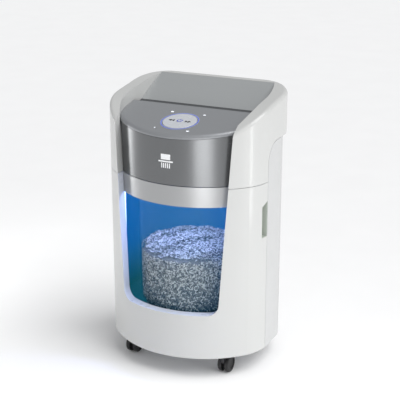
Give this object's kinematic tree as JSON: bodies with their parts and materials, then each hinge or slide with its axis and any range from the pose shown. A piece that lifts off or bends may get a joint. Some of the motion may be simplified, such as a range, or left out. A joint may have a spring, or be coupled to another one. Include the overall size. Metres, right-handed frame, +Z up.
{
  "type": "paper shredder",
  "caption": "Deep-bin paper shredder on casters: white shell, sloping grey head with round control, and a clear bin that turns behind a big front window.",
  "frame": {"origin": "on the floor, under the middle of the machine", "axes": "+Z up, the front with the window faces -Y, +X to the right of somebody facing +Y"},
  "size_m": [0.38, 0.3, 0.63],
  "materials": {
    "shell_white": "gloss moulded",
    "cabinet_white": "fine moulded texture",
    "panel_silver": "metallic paint",
    "band_silver": "satin silver",
    "deck_grey": "satin",
    "slope_grey": "satin",
    "ring_blue": "lit from below",
    "lens_white": "lit from below",
    "control_white": "gloss",
    "badge_grey": "gloss",
    "window_clear": "clear, smooth",
    "bin_clear": "clear, smooth",
    "chamber_blue": "satin",
    "light_strip": "diffusing",
    "grip_green": "textured",
    "black_plastic": "textured",
    "wheel_black": "satin",
    "chassis_grey": "moulded",
    "nylon": "natural",
    "tool_steel": "ground",
    "zinc_steel": "zinc plated",
    "motor_paint": "satin",
    "bronze": "sintered",
    "can_aluminium": "drawn",
    "board_green": "solder mask"
  },
  "bodies": {
    "cabinet": {"rear_cabinet_shell": "cabinet_white", "base_plate": "zinc_steel", "left_wing": "shell_white", "right_wing": "shell_white", "head_rear_cover": "shell_white", "front_panel": "panel_silver", "control_deck": "deck_grey", "feed_slot_trough": "deck_grey", "rear_slope_panel": "slope_grey", "light_ring": "ring_blue", "indicator_lenses": "lens_white", "front_badge": "badge_grey", "panel_board": "board_green", "head_chassis": "chassis_grey", "chamber_light_bar": "light_strip", "cutter_side_plates": "zinc_steel", "cutter_tie_rods": "zinc_steel", "cutter_bearings": "bronze", "stripper_combs": "black_plastic", "motor_housing": "motor_paint", "gearbox_cover": "chassis_grey", "control_board": "board_green", "run_capacitor": "can_aluminium", "cabinet_rails": "zinc_steel", "door_interlock_switch": "black_plastic", "power_inlet": "black_plastic", "case_screws": "zinc_steel", "caster_sockets": "black_plastic"},
    "slide_members": {"slide_middle_members": "zinc_steel"},
    "front_cutter": {"front_cutter": "tool_steel", "front_cutter_gear": "tool_steel"},
    "rear_cutter": {"rear_cutter": "tool_steel", "rear_cutter_gear": "tool_steel"},
    "reduction_gear": {"reduction_gear": "tool_steel"},
    "motor_shaft": {"motor_shaft": "tool_steel"},
    "drawer": {"drawer_front_shell": "shell_white", "grip_liners": "grip_green", "silver_band": "band_silver", "window_pane": "window_clear", "drawer_tray": "chassis_grey", "chamber_liner": "chamber_blue", "window_light_strips": "light_strip", "drawer_runners": "zinc_steel", "turntable_bearing": "nylon", "bin_gearmotor": "black_plastic"},
    "turntable": {"turntable": "chassis_grey", "turntable_gear": "nylon", "shred_bin": "bin_clear"},
    "bin_pinion": {"bin_pinion": "nylon"},
    "control_disc": {"control_disc": "control_white"},
    "power_button": {"power_button": "control_white"},
    "power_rocker": {"power_rocker": "black_plastic"},
    "caster_swivel_front_left": {"caster_fork_front_left": "black_plastic"},
    "caster_wheel_front_left": {"caster_wheels_front_left": "wheel_black"},
    "caster_swivel_front_right": {"caster_fork_front_right": "black_plastic"},
    "caster_wheel_front_right": {"caster_wheels_front_right": "wheel_black"},
    "caster_swivel_rear_left": {"caster_fork_rear_left": "black_plastic"},
    "caster_wheel_rear_left": {"caster_wheels_rear_left": "wheel_black"},
    "caster_swivel_rear_right": {"caster_fork_rear_right": "black_plastic"},
    "caster_wheel_rear_right": {"caster_wheels_rear_right": "wheel_black"}
  },
  "joints": [
    {"name": "drawer_slide", "type": "slide", "parent": "cabinet", "child": "drawer", "axis": [0, -1, 0], "range_m": [0, 0.27]},
    {"name": "slide_member_slide", "type": "slide", "parent": "cabinet", "child": "slide_members", "axis": [0, -1, 0], "range_m": [0, 0.135]},
    {"name": "bin_turn", "type": "hinge", "parent": "drawer", "child": "turntable", "pos_m": [0, 0, 0.11], "axis": [0, 0, 1], "continuous": true},
    {"name": "bin_pinion_turn", "type": "hinge", "parent": "drawer", "child": "bin_pinion", "pos_m": [0.069, 0, 0.11], "axis": [0, 0, 1], "continuous": true},
    {"name": "rear_cutter_turn", "type": "hinge", "parent": "cabinet", "child": "rear_cutter", "pos_m": [0, 0.042, 0.5], "axis": [1, 0, 0], "continuous": true},
    {"name": "front_cutter_turn", "type": "hinge", "parent": "cabinet", "child": "front_cutter", "pos_m": [0, 0.006, 0.5], "axis": [1, 0, 0], "continuous": true},
    {"name": "reduction_turn", "type": "hinge", "parent": "cabinet", "child": "reduction_gear", "pos_m": [0.135, 0.06225, 0.53507], "axis": [1, 0, 0], "continuous": true},
    {"name": "motor_turn", "type": "hinge", "parent": "cabinet", "child": "motor_shaft", "pos_m": [0.12, 0.09442, 0.50808], "axis": [1, 0, 0], "continuous": true},
    {"name": "control_disc_rock", "type": "hinge", "parent": "cabinet", "child": "control_disc", "pos_m": [0, -0.063, 0.56767], "axis": [0, 0.9833, 0.1822], "range_deg": [-3, 3], "stiffness_Nm_per_rad": 1.8},
    {"name": "power_button_press", "type": "slide", "parent": "control_disc", "child": "power_button", "axis": [0, 0.1822, -0.9833], "range_m": [0, 0.0008], "stiffness_N_per_m": 1500, "springref_m": -0.0004},
    {"name": "power_rocker_tilt", "type": "hinge", "parent": "cabinet", "child": "power_rocker", "pos_m": [-0.081, 0.138, 0.106], "axis": [-1, 0, 0], "range_deg": [0, 14]},
    {"name": "swivel_front_left", "type": "hinge", "parent": "cabinet", "child": "caster_swivel_front_left", "pos_m": [-0.118, -0.084, 0.05], "axis": [0, 0, 1], "continuous": true},
    {"name": "roll_front_left", "type": "hinge", "parent": "caster_swivel_front_left", "child": "caster_wheel_front_left", "pos_m": [-0.118, -0.071, 0.02], "axis": [1, 0, 0], "continuous": true},
    {"name": "swivel_front_right", "type": "hinge", "parent": "cabinet", "child": "caster_swivel_front_right", "pos_m": [0.118, -0.084, 0.05], "axis": [0, 0, 1], "continuous": true},
    {"name": "roll_front_right", "type": "hinge", "parent": "caster_swivel_front_right", "child": "caster_wheel_front_right", "pos_m": [0.118, -0.071, 0.02], "axis": [1, 0, 0], "continuous": true},
    {"name": "swivel_rear_left", "type": "hinge", "parent": "cabinet", "child": "caster_swivel_rear_left", "pos_m": [-0.118, 0.084, 0.05], "axis": [0, 0, 1], "continuous": true},
    {"name": "roll_rear_left", "type": "hinge", "parent": "caster_swivel_rear_left", "child": "caster_wheel_rear_left", "pos_m": [-0.118, 0.097, 0.02], "axis": [1, 0, 0], "continuous": true},
    {"name": "swivel_rear_right", "type": "hinge", "parent": "cabinet", "child": "caster_swivel_rear_right", "pos_m": [0.118, 0.084, 0.05], "axis": [0, 0, 1], "continuous": true},
    {"name": "roll_rear_right", "type": "hinge", "parent": "caster_swivel_rear_right", "child": "caster_wheel_rear_right", "pos_m": [0.118, 0.097, 0.02], "axis": [1, 0, 0], "continuous": true}
  ],
  "couplings": [
    {"joint": "slide_member_slide", "follows": "drawer_slide", "ratio": 0.5},
    {"joint": "bin_pinion_turn", "follows": "bin_turn", "ratio": -6.6667},
    {"joint": "front_cutter_turn", "follows": "rear_cutter_turn", "ratio": -1},
    {"joint": "reduction_turn", "follows": "rear_cutter_turn", "ratio": -2.8571},
    {"joint": "motor_turn", "follows": "rear_cutter_turn", "ratio": 10.476}
  ]
}
